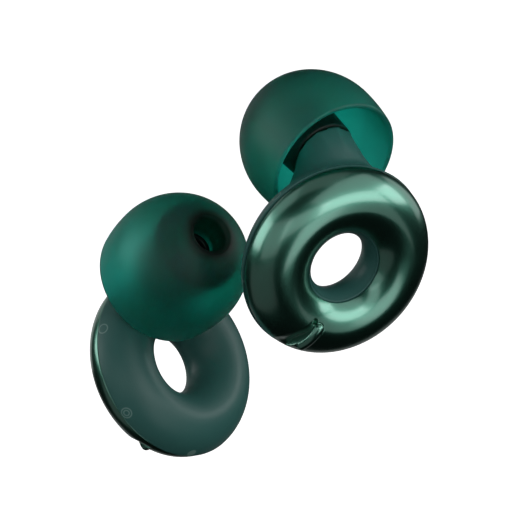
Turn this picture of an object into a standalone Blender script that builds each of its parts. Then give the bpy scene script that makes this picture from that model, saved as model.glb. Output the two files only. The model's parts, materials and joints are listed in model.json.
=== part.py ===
"""A pair of reusable ear plugs: a ring body with a turning front dial, a horn and a silicone tip.

Each plug is drawn in its own ring frame: the ring lies round local Z, its metallised dial faces
local +Z, and its horn leaves the back of the ring near local +Y. The left plug is the mirror image
of the right one in local X. Two empties then place the plugs, and a further empty on each moving
piece's axis carries that piece.
"""

import math

import bmesh
import bpy
from mathutils import Euler, Matrix, Vector

MM = 0.001

# Ring body: a flattened ring whose section is a rounded oval, deeper behind than in front.
RING_RADIUS = 8.25 * MM
HOLE_RADIUS = 2.59 * MM
FRONT_DEPTH = 2.63 * MM
REAR_DEPTH = 3.15 * MM
SECTION_POWER = 1.8
SHELL_PROUD = 0.15 * MM
WALL = 0.70 * MM
SEAM_HEIGHT = -0.45 * MM
LIP_HEIGHT = 1.30 * MM

# Clearances.
RUNNING_GAP = 0.12 * MM
SEAT_GAP = 0.10 * MM

# Tip axis: where the tip's widest circle is centred, outward of the middle of the ring's section
# and behind the ring's back, and how the axis leans from straight back.
TIP_OUT_OF_MIDDLE = 2.17 * MM
TIP_BEHIND_RING = 3.28 * MM
TIP_LEAN_OUT = math.radians(10.8)
TIP_LEAN_SIDE = math.radians(8.1)

# Horn, the stem that carries the nozzle. Heights on the tip axis count from the tip's centre.
HORN_END_WALL = 0.80 * MM
HORN_END_HEIGHT = -1.51 * MM
HORN_ROOT_OUT_OF_MIDDLE = 0.13 * MM
HORN_ROOT_MARGIN = 0.43 * MM
HORN_ROOT_HALF_ANGLE = math.radians(74.0)
HORN_ROOT_BACK = 1.20 * MM
HORN_FLARE = 1.15
DUCT_RADIUS = 0.80 * MM
DUCT_DEPTH = 3.95 * MM

# Nozzle and the acoustic filter inside it.
NOZZLE_RADIUS = 1.90 * MM
NOZZLE_BORE = 1.30 * MM
NOZZLE_REACH = 4.60 * MM
NOZZLE_SEAT = 1.50 * MM
BARB_HEIGHT = 0.25 * MM
BARB_LENGTH = 0.90 * MM
FILTER_WALL = 0.30 * MM
FILTER_CUP_LENGTH = 1.60 * MM
MEMBRANE_THICKNESS = 0.15 * MM
RETAINER_LENGTH = 0.50 * MM
SCREEN_THICKNESS = 0.15 * MM
SCREEN_INSET = 0.35 * MM

# Silicone ear tip.
TIP_RADIUS = 6.10 * MM
TIP_CROWN = 6.65 * MM
TIP_SKIRT = 10.0 * MM
TIP_RIM_HEIGHT = -3.10 * MM
TIP_RIM_WALL = 0.45 * MM
TIP_WALL = 0.75 * MM
TIP_BORE_MARGIN = 0.17 * MM
TIP_LIP = 0.50 * MM
SLEEVE_WALL = 0.58 * MM
SLEEVE_FLARE = 0.25 * MM

# Dial: a finger ridge beside a sloping pocket, and the mode holes of the shutter under it.
RIDGE_ANGLE = math.radians(-115.0)
RIDGE_RADIUS = 0.36 * MM
RIDGE_START = math.radians(101.0)
RIDGE_END = math.radians(40.0)
RIDGE_LIFT = 0.05 * MM
POCKET_SPREAD = math.radians(17.0)
POCKET_DEPTH = 0.38 * MM
PORT_RADIUS = 0.26 * MM
MODE_STEP = math.radians(54.5)
MODE_HOLE_RADII = (0.80 * MM, 0.50 * MM, 0.25 * MM)
LEFT_DIAL_TURN = math.radians(21.0)

# Flat rings inside the ring body, by height and thickness.
SHUTTER_HEIGHT = -0.40 * MM
SHUTTER_THICKNESS = 0.40 * MM
PLATE_THICKNESS = 0.40 * MM
GASKET_THICKNESS = 0.45 * MM
CLIP_HEIGHT = 0.22 * MM
CLIP_THICKNESS = 0.40 * MM
CLIP_WIDTH = 0.55 * MM
CLIP_SWEEP = math.radians(320.0)
SPRING_THICKNESS = 0.12 * MM
SPRING_HEIGHT = 0.18 * MM
SPRING_WIDTH = 0.50 * MM
SPRING_SWEEP = math.radians(56.0)
WINDOW_RADIUS = 0.95 * MM

# How the pair lies: turns of each ring frame, and the left ring's centre from the right one's.
RIGHT_TURN = tuple(math.radians(angle) for angle in (96.6, 4.9, 25.9))
LEFT_TURN = tuple(math.radians(angle) for angle in (121.4, 4.7, -126.2))
LEFT_OFFSET = Vector((-14.2, 10.8, -13.6)) * MM

# Facets round each kind of piece.
RING_STEPS = 36
ARC_POINTS = 8
TIP_STEPS = 28
SMALL_STEPS = 18
HORN_POINTS = 20
HORN_SECTIONS = 6
MERGE_DISTANCE = 0.001 * MM

# Sizes that follow from those above.
RING_MIDDLE = (RING_RADIUS + HOLE_RADIUS) / 2.0
RING_HALF_WIDTH = (RING_RADIUS - HOLE_RADIUS) / 2.0
TIP_CENTRE_OUT = RING_MIDDLE + TIP_OUT_OF_MIDDLE
TIP_CENTRE_BACK = REAR_DEPTH + TIP_BEHIND_RING
HORN_END_RADIUS = NOZZLE_RADIUS + SEAT_GAP + HORN_END_WALL
HORN_ROOT_RADIUS = RING_MIDDLE + HORN_ROOT_OUT_OF_MIDDLE
HORN_ROOT_HALF_WIDTH = RING_HALF_WIDTH - HORN_ROOT_MARGIN
BARB_RADIUS = NOZZLE_RADIUS + BARB_HEIGHT
TIP_BORE = NOZZLE_BORE + TIP_BORE_MARGIN

FINISHES = {
    "dial_metal": ((0.085, 0.19, 0.155, 1.0), 0.28, 0.85),
    "shell_matte": ((0.105, 0.135, 0.130, 1.0), 0.55, 0.0),
    "tip_silicone": ((0.060, 0.26, 0.205, 1.0), 0.45, 0.0),
    "nozzle_black": ((0.020, 0.026, 0.025, 1.0), 0.40, 0.0),
    "inner_plastic": ((0.20, 0.21, 0.21, 1.0), 0.50, 0.0),
    "spring_steel": ((0.56, 0.57, 0.58, 1.0), 0.25, 1.0),
    "gasket_foam": ((0.045, 0.045, 0.05, 1.0), 0.90, 0.0),
    "filter_mesh": ((0.30, 0.31, 0.30, 1.0), 0.60, 0.3),
}


def clear_scene():
    """Empty the scene before modelling."""
    for old_object in list(bpy.data.objects):
        bpy.data.objects.remove(old_object, do_unlink=True)


def finish_material(name):
    """Return the Principled material of one finish, made on first use."""
    material = bpy.data.materials.get(name)
    if material is None:
        colour, roughness, metallic = FINISHES[name]
        material = bpy.data.materials.new(name)
        material.use_nodes = True
        shader = material.node_tree.nodes["Principled BSDF"]
        shader.inputs["Base Color"].default_value = colour
        shader.inputs["Roughness"].default_value = roughness
        shader.inputs["Metallic"].default_value = metallic
        material.diffuse_color = colour
    return material


def empty(name, matrix, parent=None):
    """Make an empty whose frame, under its parent, is the given matrix."""
    holder = bpy.data.objects.new(name, None)
    bpy.context.scene.collection.objects.link(holder)
    holder.parent = parent
    holder.matrix_local = matrix
    return holder


def mesh_object(name, shape, holder, finish=None):
    """Turn a bmesh into an object under its holder; without a finish it is a hidden cutter."""
    bmesh.ops.remove_doubles(shape, verts=shape.verts, dist=MERGE_DISTANCE)
    bmesh.ops.recalc_face_normals(shape, faces=shape.faces)
    mesh = bpy.data.meshes.new(name)
    shape.to_mesh(mesh)
    shape.free()
    piece = bpy.data.objects.new(name, mesh)
    bpy.context.scene.collection.objects.link(piece)
    piece.parent = holder
    if finish is None:
        piece.hide_render = True
        piece.display_type = "WIRE"
    else:
        mesh.materials.append(finish_material(finish))
        mesh.shade_smooth()
        mesh.set_sharp_from_angle(angle=math.radians(40.0))
    return piece


def turned(outline, steps):
    """Turn a closed outline of (radius, height) points once round local Z."""
    shape = bmesh.new()
    corners = [shape.verts.new((radius, 0.0, height)) for radius, height in outline]
    edges = [shape.edges.new((corners[i - 1], corners[i])) for i in range(len(corners))]
    bmesh.ops.spin(
        shape, geom=corners + edges, axis=(0.0, 0.0, 1.0), cent=(0.0, 0.0, 0.0),
        angle=math.tau, steps=steps, use_merge=True,
    )
    return shape


def arc_bar(outline, start, sweep, steps):
    """Sweep a closed (radius, height) outline through part of a turn round local Z."""
    shape = bmesh.new()
    corners = [
        shape.verts.new((radius * math.cos(start), radius * math.sin(start), height))
        for radius, height in outline
    ]
    face = shape.faces.new(corners)
    bmesh.ops.spin(
        shape, geom=[face], axis=(0.0, 0.0, 1.0), cent=(0.0, 0.0, 0.0),
        angle=sweep, steps=steps,
    )
    return shape


def disc(radius, low, thickness, steps, centre=(0.0, 0.0)):
    """A round disc or peg standing on height low, with its axis along local Z."""
    shape = bmesh.new()
    middle = Matrix.Translation((centre[0], centre[1], low + thickness / 2.0))
    bmesh.ops.create_cone(
        shape, cap_ends=True, segments=steps, radius1=radius, radius2=radius,
        depth=thickness, matrix=middle,
    )
    return shape


def lofted(sections):
    """Skin a row of equal closed sections and close its two ends."""
    shape = bmesh.new()
    loops = [[shape.verts.new(point) for point in section] for section in sections]
    count = len(loops[0])
    for near, far in zip(loops[:-1], loops[1:]):
        for i in range(count):
            shape.faces.new((near[i - 1], near[i], far[i], far[i - 1]))
    shape.faces.new(loops[0])
    shape.faces.new(loops[-1])
    return shape


def boolean(target, tool, operation):
    """Add a live Boolean modifier to target."""
    modifier = target.modifiers.new(f"{operation.lower()}_{tool.name}", "BOOLEAN")
    modifier.operation = operation
    modifier.solver = "EXACT"
    modifier.object = tool


def box_outline(inner, outer, low, high):
    """A rectangular (radius, height) outline."""
    return [(inner, low), (outer, low), (outer, high), (inner, high)]


def signed_power(value, power):
    """Raise a value to a power and keep its sign."""
    return math.copysign(abs(value) ** power, value)


def section_point(angle, inset=0.0):
    """A point of the ring's oval section: angle 0 is its outside, 90 degrees its front."""
    depth = FRONT_DEPTH if math.sin(angle) > 0.0 else REAR_DEPTH
    power = 2.0 / SECTION_POWER
    radius = RING_MIDDLE + (RING_HALF_WIDTH - inset) * signed_power(math.cos(angle), power)
    return radius, (depth - inset) * signed_power(math.sin(angle), power)


def section_angle(height, inset=0.0):
    """The angle, between 0 and 90 degrees in size, at which the oval section has a height."""
    depth = (FRONT_DEPTH if height > 0.0 else REAR_DEPTH) - inset
    return math.copysign(math.asin((abs(height) / depth) ** (SECTION_POWER / 2.0)), height)


def section_half_width(height, inset=0.0):
    """Half the width of the oval section at a height."""
    return section_point(section_angle(height, inset), inset)[0] - RING_MIDDLE


def section_arc(start, end, inset=0.0):
    """Points of the oval section from one angle to another."""
    span = end - start
    angles = [start + span * i / ARC_POINTS for i in range(ARC_POINTS + 1)]
    return [section_point(angle, inset) for angle in angles]


class Plug:
    """One ear plug: its frames, and the rules that the mirror image changes."""

    def __init__(self, name, side, location, turn, dial_turn):
        self.name = name
        self.side = side
        placement = Matrix.Translation(location) @ Euler(turn).to_matrix().to_4x4()
        self.ring = empty(f"{name}_ring_frame", placement)
        self.dial = empty(
            f"{name}_dial_axis", Matrix.Rotation(dial_turn, 4, "Z"), self.ring)
        self.tip_matrix = tip_frame(side)
        self.tip = empty(f"{name}_tip_axis", self.tip_matrix, self.ring)

    def angle(self, right_angle):
        """An angle round the ring, given for the right plug, on this plug."""
        return right_angle if self.side > 0 else math.pi - right_angle

    def add(self, node, shape, holder, finish):
        """Add one named piece of this plug."""
        return mesh_object(f"{self.name}_{node}", shape, holder, finish)

    def cutter(self, node, shape, holder):
        """Add one hidden cutter of this plug."""
        return mesh_object(f"{self.name}_{node}_cutter", shape, holder)


def tip_frame(side):
    """The tip's frame in the ring frame: origin at the tip's widest circle, +Z to its crown."""
    centre = Vector((0.0, TIP_CENTRE_OUT, -TIP_CENTRE_BACK))
    flat = math.cos(TIP_LEAN_SIDE)
    axis = Vector((
        -side * math.sin(TIP_LEAN_SIDE),
        flat * math.sin(TIP_LEAN_OUT),
        -flat * math.cos(TIP_LEAN_OUT),
    ))
    return Matrix.Translation(centre) @ axis.to_track_quat("Z", "Y").to_matrix().to_4x4()


def horn_sections(plug):
    """Sections of the horn from its bean-shaped root in the ring to its round end."""
    frame = plug.tip_matrix
    to_tip = frame.inverted()
    roots = []
    for i in range(HORN_POINTS):
        turn = math.tau * i / HORN_POINTS
        bearing = math.pi / 2.0 - HORN_ROOT_HALF_ANGLE * math.cos(turn)
        radius = HORN_ROOT_RADIUS + HORN_ROOT_HALF_WIDTH * math.sin(turn)
        root = Vector((radius * math.cos(bearing), radius * math.sin(bearing), -HORN_ROOT_BACK))
        roots.append(to_tip @ root)
    bearings = [math.atan2(root.y, root.x) for root in roots]
    sections = []
    for k in range(HORN_SECTIONS + 1):
        along = k / HORN_SECTIONS
        across = 1.0 - (1.0 - along) ** HORN_FLARE
        section = []
        for root, bearing in zip(roots, bearings):
            end_x = HORN_END_RADIUS * math.cos(bearing)
            end_y = HORN_END_RADIUS * math.sin(bearing)
            point = Vector((
                root.x + (end_x - root.x) * across,
                root.y + (end_y - root.y) * across,
                root.z + (HORN_END_HEIGHT - root.z) * along,
            ))
            section.append(frame @ point)
        sections.append(section)
    return sections


def rear_shell(plug):
    """The matte back of the ring with its hole wall, and the horn that grows out of it."""
    start = section_angle(SEAM_HEIGHT)
    end = -math.pi - section_angle(LIP_HEIGHT)
    outline = [
        (radius + SHELL_PROUD * max(radius - RING_MIDDLE, 0.0) / RING_HALF_WIDTH, height)
        for radius, height in section_arc(start, end)
    ]
    outline += [(RING_MIDDLE, LIP_HEIGHT), (RING_MIDDLE, SEAM_HEIGHT)]
    shell = plug.add("rear_shell", turned(outline, RING_STEPS), plug.ring, "shell_matte")
    horn = plug.cutter("horn", lofted(horn_sections(plug)), plug.ring)
    boolean(shell, horn, "UNION")

    hollow = section_arc(
        section_angle(SEAM_HEIGHT, WALL), -math.pi - section_angle(LIP_HEIGHT, WALL), WALL)
    top = FRONT_DEPTH + WALL
    hollow += [(hollow[-1][0], top), (hollow[0][0], top)]
    boolean(shell, plug.cutter("hollow", turned(hollow, RING_STEPS), plug.ring), "DIFFERENCE")

    socket = NOZZLE_RADIUS + SEAT_GAP
    seat = HORN_END_HEIGHT - NOZZLE_SEAT - SEAT_GAP
    bore = disc(socket, seat, NOZZLE_SEAT + SEAT_GAP + WALL, SMALL_STEPS)
    boolean(shell, plug.cutter("socket", bore, plug.tip), "DIFFERENCE")
    duct = disc(DUCT_RADIUS, HORN_END_HEIGHT - DUCT_DEPTH, DUCT_DEPTH - NOZZLE_SEAT / 2.0,
                SMALL_STEPS)
    boolean(shell, plug.cutter("duct", duct, plug.tip), "DIFFERENCE")
    return shell


def ridge_sections(angle):
    """Round sections of the finger ridge along the dial's surface at one angle of the ring."""
    count = 8
    steps = 6
    sections = []
    for k in range(count + 1):
        share = k / count
        section_turn = RIDGE_START + (RIDGE_END - RIDGE_START) * share
        radius, height = section_point(section_turn)
        fullness = math.sqrt(max(1.0 - abs(2.0 * share - 1.0) ** 5, 0.12))
        across = Vector((-math.sin(angle), math.cos(angle), 0.0))
        outward = Vector((
            math.cos(section_turn) * math.cos(angle),
            math.cos(section_turn) * math.sin(angle),
            math.sin(section_turn),
        ))
        middle = Vector((radius * math.cos(angle), radius * math.sin(angle), height))
        middle += outward * RIDGE_LIFT
        section = []
        for i in range(steps):
            turn = math.tau * i / steps
            spoke = across * math.cos(turn) + outward * math.sin(turn)
            section.append(middle + spoke * RIDGE_RADIUS * fullness)
        sections.append(section)
    return sections


def pocket_sections(plug, angle):
    """Three-cornered sections of the pocket that slopes down to the ridge's side."""
    away = -plug.side
    count = 5
    sections = []
    for k in range(count + 1):
        share = k / count
        section_turn = RIDGE_START + (RIDGE_END - math.radians(8.0) - RIDGE_START) * share
        spread = POCKET_SPREAD * (0.35 + 0.65 * share)
        corners = ((0.02, POCKET_DEPTH), (0.02, -POCKET_DEPTH), (1.0, -POCKET_DEPTH * 0.6))
        section = []
        for swing, depth in corners:
            bearing = angle + away * spread * swing
            radius, height = section_point(section_turn, depth)
            section.append((radius * math.cos(bearing), radius * math.sin(bearing), height))
        sections.append(section)
    return sections


def dial(plug):
    """The metallised front of the ring, hollow behind, with the ridge that turns it."""
    seam = SEAM_HEIGHT + RUNNING_GAP
    lip = LIP_HEIGHT + RUNNING_GAP
    outer = section_arc(section_angle(seam), math.pi - section_angle(lip))
    inner = section_arc(math.pi - section_angle(lip, WALL), section_angle(seam, WALL), WALL)
    face = plug.add("dial", turned(outer + inner, RING_STEPS), plug.dial, "dial_metal")
    angle = plug.angle(RIDGE_ANGLE)
    pocket = plug.cutter("pocket", lofted(pocket_sections(plug, angle)), plug.dial)
    boolean(face, pocket, "DIFFERENCE")
    ridge = plug.cutter("ridge", lofted(ridge_sections(angle)), plug.dial)
    boolean(face, ridge, "UNION")
    port_angle = angle - plug.side * math.radians(8.0)
    port_reach = section_point(RIDGE_START)[0]
    spot = (port_reach * math.cos(port_angle), port_reach * math.sin(port_angle))
    port = disc(PORT_RADIUS, FRONT_DEPTH - 2.0 * WALL, 2.0 * WALL, SMALL_STEPS // 2, spot)
    boolean(face, plug.cutter("port", port, plug.dial), "DIFFERENCE")


def flat_ring(low, thickness, extra=0.0):
    """A flat ring that fills the hollow ring body between two heights, less its seat gap."""
    narrowest = min(
        section_half_width(low, WALL), section_half_width(low + thickness, WALL))
    reach = narrowest - SEAT_GAP - extra
    outline = box_outline(RING_MIDDLE - reach, RING_MIDDLE + reach, low, low + thickness)
    return turned(outline, RING_STEPS)


def ring_spot(angle):
    """The middle of the ring's section at an angle, as x and y."""
    return RING_MIDDLE * math.cos(angle), RING_MIDDLE * math.sin(angle)


def sound_plates(plug):
    """The turning shutter, the fixed port plate under it and the foam gasket that seals it."""
    shutter_low = SHUTTER_HEIGHT
    plate_low = shutter_low - RUNNING_GAP - PLATE_THICKNESS
    gasket_low = plate_low - SEAT_GAP - GASKET_THICKNESS

    shape = flat_ring(shutter_low, SHUTTER_THICKNESS, RUNNING_GAP)
    shutter = plug.add("shutter", shape, plug.dial, "inner_plastic")
    cut = 4.0 * SHUTTER_THICKNESS
    for mode, radius in enumerate(MODE_HOLE_RADII):
        spot = ring_spot(plug.angle(math.pi / 2.0 + mode * MODE_STEP))
        hole = disc(radius, shutter_low - SHUTTER_THICKNESS, cut, SMALL_STEPS // 2, spot)
        boolean(shutter, plug.cutter(f"mode_{mode}", hole, plug.dial), "DIFFERENCE")

    window_spot = ring_spot(math.pi / 2.0)
    low = gasket_low - GASKET_THICKNESS
    window_shape = disc(WINDOW_RADIUS, low, shutter_low - low, SMALL_STEPS // 2, window_spot)
    window = plug.cutter("window", window_shape, plug.ring)
    plate_shape = flat_ring(plate_low, PLATE_THICKNESS)
    plate = plug.add("port_plate", plate_shape, plug.ring, "inner_plastic")
    boolean(plate, window, "DIFFERENCE")
    gasket_shape = flat_ring(gasket_low, GASKET_THICKNESS)
    gasket = plug.add("plate_gasket", gasket_shape, plug.ring, "gasket_foam")
    boolean(gasket, window, "DIFFERENCE")


def dial_hardware(plug):
    """The split clip that keeps the dial on the hole wall, and the leaf spring that clicks it."""
    high = CLIP_HEIGHT + CLIP_THICKNESS
    inner = RING_MIDDLE - section_half_width(high, WALL) + RUNNING_GAP
    outline = box_outline(inner, inner + CLIP_WIDTH, CLIP_HEIGHT, high)
    start = -math.pi / 2.0 - CLIP_SWEEP / 2.0
    shape = arc_bar(outline, start, CLIP_SWEEP, RING_STEPS - 4)
    plug.add("dial_clip", shape, plug.ring, "spring_steel")

    top = SPRING_HEIGHT + SPRING_WIDTH
    outer = RING_MIDDLE + section_half_width(top, WALL) - 2.0 * RUNNING_GAP
    outline = box_outline(outer - SPRING_THICKNESS, outer, SPRING_HEIGHT, top)
    start = math.pi / 2.0 - SPRING_SWEEP / 2.0
    shape = arc_bar(outline, start, SPRING_SWEEP, SMALL_STEPS // 2)
    plug.add("detent_spring", shape, plug.ring, "spring_steel")


def nozzle(plug):
    """The black tube pressed into the horn, with a barb that holds the ear tip."""
    foot = HORN_END_HEIGHT - NOZZLE_SEAT
    end = HORN_END_HEIGHT + NOZZLE_REACH
    chamfer = (BARB_RADIUS - NOZZLE_RADIUS) * 0.8
    outline = [
        (NOZZLE_BORE, foot),
        (NOZZLE_RADIUS, foot),
        (NOZZLE_RADIUS, end - BARB_LENGTH),
        (BARB_RADIUS, end - BARB_LENGTH + chamfer),
        (BARB_RADIUS, end - chamfer * 1.5),
        (BARB_RADIUS - chamfer, end),
        (NOZZLE_BORE, end),
    ]
    plug.add("nozzle", turned(outline, SMALL_STEPS), plug.tip, "nozzle_black")

    radius = NOZZLE_BORE - SEAT_GAP
    hollow = radius - FILTER_WALL
    low = foot + WALL
    high = low + FILTER_CUP_LENGTH
    cup = turned(box_outline(hollow, radius, low, high), SMALL_STEPS)
    plug.add("filter_cup", cup, plug.tip, "inner_plastic")
    low = high + SEAT_GAP
    high = low + MEMBRANE_THICKNESS
    membrane = disc(radius, low, MEMBRANE_THICKNESS, SMALL_STEPS)
    plug.add("filter_membrane", membrane, plug.tip, "filter_mesh")
    low = high + SEAT_GAP
    retainer = turned(box_outline(hollow, radius, low, low + RETAINER_LENGTH), SMALL_STEPS)
    plug.add("filter_retainer", retainer, plug.tip, "inner_plastic")
    low = end - SCREEN_INSET - SCREEN_THICKNESS
    screen = disc(radius, low, SCREEN_THICKNESS, SMALL_STEPS)
    plug.add("nozzle_screen", screen, plug.tip, "filter_mesh")


def dome_radius(height, inset=0.0):
    """The radius of the ear tip's dome, or of a surface inset from it, at a height."""
    reach = (TIP_CROWN if height > 0.0 else TIP_SKIRT) - inset
    return (TIP_RADIUS - inset) * math.sqrt(1.0 - (height / reach) ** 2)


def dome_height(radius):
    """The height at which the dome's outside has a radius, on the crown's side."""
    return TIP_CROWN * math.sqrt(1.0 - (radius / TIP_RADIUS) ** 2)


def ear_tip_outline():
    """The tip's outline: dome, bore lip, bore, sleeve and the skirt's inside."""
    lip_radius = TIP_BORE + TIP_LIP
    crown = dome_height(lip_radius)
    rim = TIP_RIM_HEIGHT
    outline = []
    outer_points = 9
    for i in range(outer_points + 1):
        share = i / outer_points
        turn = share * math.acos(lip_radius / TIP_RADIUS)
        height = TIP_CROWN * math.sin(turn)
        outline.append((TIP_RADIUS * math.cos(turn), height))
    outline.append((TIP_BORE + TIP_LIP * 0.3, crown - TIP_LIP * 0.12))
    outline.append((TIP_BORE, crown - TIP_LIP))

    nozzle_end = HORN_END_HEIGHT + NOZZLE_REACH
    shoulder = nozzle_end + 2.0 * SEAT_GAP
    sleeve_inner = BARB_RADIUS + RUNNING_GAP
    foot = HORN_END_HEIGHT + RUNNING_GAP
    outline += [(TIP_BORE, shoulder), (sleeve_inner, shoulder), (sleeve_inner, foot)]
    sleeve_outer = sleeve_inner + SLEEVE_WALL
    outline.append((sleeve_outer, foot))
    outline.append((sleeve_outer + SLEEVE_FLARE, shoulder - TIP_WALL))
    outline.append((sleeve_outer + 2.0 * SLEEVE_FLARE, shoulder))

    vault = TIP_CROWN - 3.0 * TIP_WALL
    inner_points = 4
    for i in range(inner_points, 0, -1):
        height = vault * 0.92 * i / inner_points
        radius = (TIP_RADIUS - TIP_WALL) * math.sqrt(1.0 - (height / vault) ** 2)
        if radius > sleeve_outer + 3.0 * SLEEVE_FLARE:
            outline.append((radius, height))
    outline.append((dome_radius(0.0, TIP_WALL), 0.0))
    outline.append((dome_radius(rim / 2.0) - TIP_WALL, rim / 2.0))
    rim_radius = dome_radius(rim)
    outline.append((rim_radius - TIP_RIM_WALL, rim + TIP_RIM_WALL * 0.3))
    outline.append((rim_radius - TIP_RIM_WALL / 2.0, rim))
    outline.append((rim_radius, rim + TIP_RIM_WALL * 0.3))
    outline.append((dome_radius(rim / 2.0), rim / 2.0))
    return outline


def ear_tip(plug):
    """The soft silicone tip: an open dome on a sleeve that slips over the nozzle."""
    shape = turned(ear_tip_outline(), TIP_STEPS)
    plug.add("ear_tip", shape, plug.tip, "tip_silicone")


def build_plug(plug):
    """Model every piece of one plug."""
    rear_shell(plug)
    dial(plug)
    sound_plates(plug)
    dial_hardware(plug)
    nozzle(plug)
    ear_tip(plug)


def main():
    """Model the pair, with the right tip's centre at the world's origin."""
    clear_scene()
    turn = Euler(RIGHT_TURN).to_matrix()
    right_centre = -(turn @ tip_frame(1).translation)
    build_plug(Plug("right", 1, right_centre, RIGHT_TURN, 0.0))
    left_centre = right_centre + LEFT_OFFSET
    build_plug(Plug("left", -1, left_centre, LEFT_TURN, LEFT_DIAL_TURN))


main()
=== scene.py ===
"""A pair of reusable ear plugs: ring bodies with turning metallised dials, horns and silicone tips.

Shapes are drawn in millimetres in two frames of a right-hand plug. In the ring frame the ring lies
round local Z, the dial faces local +Z and the horn leaves the back near local +Y. In the tip frame
local Z runs to the tip's crown and the origin is the centre of the tip's widest circle. A placing
matrix then brings each shape to its place in metres, and mirrors it for the left plug.
"""
import json
import logging
import math
from dataclasses import dataclass, field
from enum import Enum
from typing import Iterable, Sequence

import bmesh
import bpy
from mathutils import Euler, Matrix, Vector
from mathutils.kdtree import KDTree


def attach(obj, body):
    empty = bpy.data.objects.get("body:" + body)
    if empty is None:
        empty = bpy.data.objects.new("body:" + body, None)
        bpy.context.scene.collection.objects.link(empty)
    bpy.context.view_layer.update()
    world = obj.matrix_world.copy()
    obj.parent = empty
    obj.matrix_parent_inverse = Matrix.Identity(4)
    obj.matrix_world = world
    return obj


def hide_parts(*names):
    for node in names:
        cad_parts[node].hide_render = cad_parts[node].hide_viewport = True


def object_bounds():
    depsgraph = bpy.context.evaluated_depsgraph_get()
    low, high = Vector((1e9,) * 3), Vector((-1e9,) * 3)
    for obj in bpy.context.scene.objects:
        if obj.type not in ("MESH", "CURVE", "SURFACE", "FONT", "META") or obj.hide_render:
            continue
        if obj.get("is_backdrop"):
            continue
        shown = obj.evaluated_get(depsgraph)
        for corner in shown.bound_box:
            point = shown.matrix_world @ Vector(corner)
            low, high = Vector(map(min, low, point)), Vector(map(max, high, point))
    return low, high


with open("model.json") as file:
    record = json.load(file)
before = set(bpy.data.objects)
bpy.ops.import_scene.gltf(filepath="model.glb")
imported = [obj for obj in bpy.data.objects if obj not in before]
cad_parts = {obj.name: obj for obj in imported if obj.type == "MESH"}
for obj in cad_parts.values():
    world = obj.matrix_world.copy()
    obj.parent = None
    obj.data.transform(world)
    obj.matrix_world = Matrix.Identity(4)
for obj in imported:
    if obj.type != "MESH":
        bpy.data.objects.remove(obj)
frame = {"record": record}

MM = 0.001
MERGE_DISTANCE = 0.0005
SHARP_ANGLE = math.radians(38.0)
NEARLY_STRAIGHT = math.radians(88.0)
LONGEST_EASE = 0.48
ON_SURFACE = 0.985
Z_AXIS = Vector((0.0, 0.0, 1.0))
# Mesh attribute that marks where painted shade darkens the silicone tip round its nozzle.
PAINTED_SHADE_ATTRIBUTE = "painted_core_shade"
NOISE_LOW, NOISE_HIGH = 0.3, 0.7

log = logging.getLogger("ear_plugs")

Point2 = tuple[float, float]
Outline = list[Point2]
Colour = tuple[float, float, float, float]
Shape = bmesh.types.BMesh
Socket = bpy.types.NodeSocket


class Side(Enum):
    """Which ear a plug is for."""

    RIGHT = "right"
    LEFT = "left"


class Holder(Enum):
    """The frame of a plug that a shape is drawn in."""

    RING = "ring"
    TIP = "tip"


# --------------------------------------------------------------------------------------------
# Outlines


def arc(centre: Point2, radius: float, start: float, end: float, count: int) -> Outline:
    """Points along a round arc.

    Args:
        centre: the arc's centre.
        radius: its radius.
        start: the first point's angle, in radians.
        end: the last point's angle, in radians.
        count: how many steps lie between them.

    Returns:
        The points, both ends included.
    """
    turns = [start + (end - start) * i / count for i in range(count + 1)]
    return [(centre[0] + radius * math.cos(t), centre[1] + radius * math.sin(t)) for t in turns]


def bend(start: Vector, corner: Vector, end: Vector, steps: int) -> Outline:
    """Points along a curve that leaves its start towards a corner and bends into its end.

    Args:
        start: the first point.
        corner: the point that the curve bends towards.
        end: the last point.
        steps: how many steps lie between them.

    Returns:
        The points, both ends included.
    """
    points: Outline = []
    for k in range(steps + 1):
        share = k / steps
        point = start * (1 - share) ** 2 + corner * 2 * share * (1 - share) + end * share ** 2
        points.append((point.x, point.y))
    return points


def eased(outline: Sequence[Point2], radii: Sequence[float], steps: int = 4) -> Outline:
    """Round the corners of a closed outline.

    Args:
        outline: the corners, in order.
        radii: the rounding at each corner, 0 for a sharp one.
        steps: how many steps each rounding takes.

    Returns:
        The outline with an arc in place of each rounded corner.
    """
    points: Outline = []
    count = len(outline)
    for i, (corner, radius) in enumerate(zip(outline, radii)):
        here = Vector(corner)
        back = Vector(outline[i - 1]) - here
        ahead = Vector(outline[(i + 1) % count]) - here
        half = back.angle(ahead) / 2.0
        if radius <= 0.0 or half > NEARLY_STRAIGHT:
            points.append(corner)
            continue
        longest = LONGEST_EASE * min(back.length, ahead.length)
        reach = min(radius / math.tan(half), longest)
        first = here + back.normalized() * reach
        last = here + ahead.normalized() * reach
        points += bend(first, here, last, steps)
    return points


def rectangle(inner: float, outer: float, low: float, high: float) -> Outline:
    """The four corners of a box section, by its radii and heights."""
    return [(inner, low), (outer, low), (outer, high), (inner, high)]


def smooth_share(value: float, low: float, high: float) -> float:
    """How far a value is from low to high, from 0 to 1, eased at both ends."""
    share = min(max((value - low) / (high - low), 0.0), 1.0)
    return share * share * (3.0 - 2.0 * share)


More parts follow.
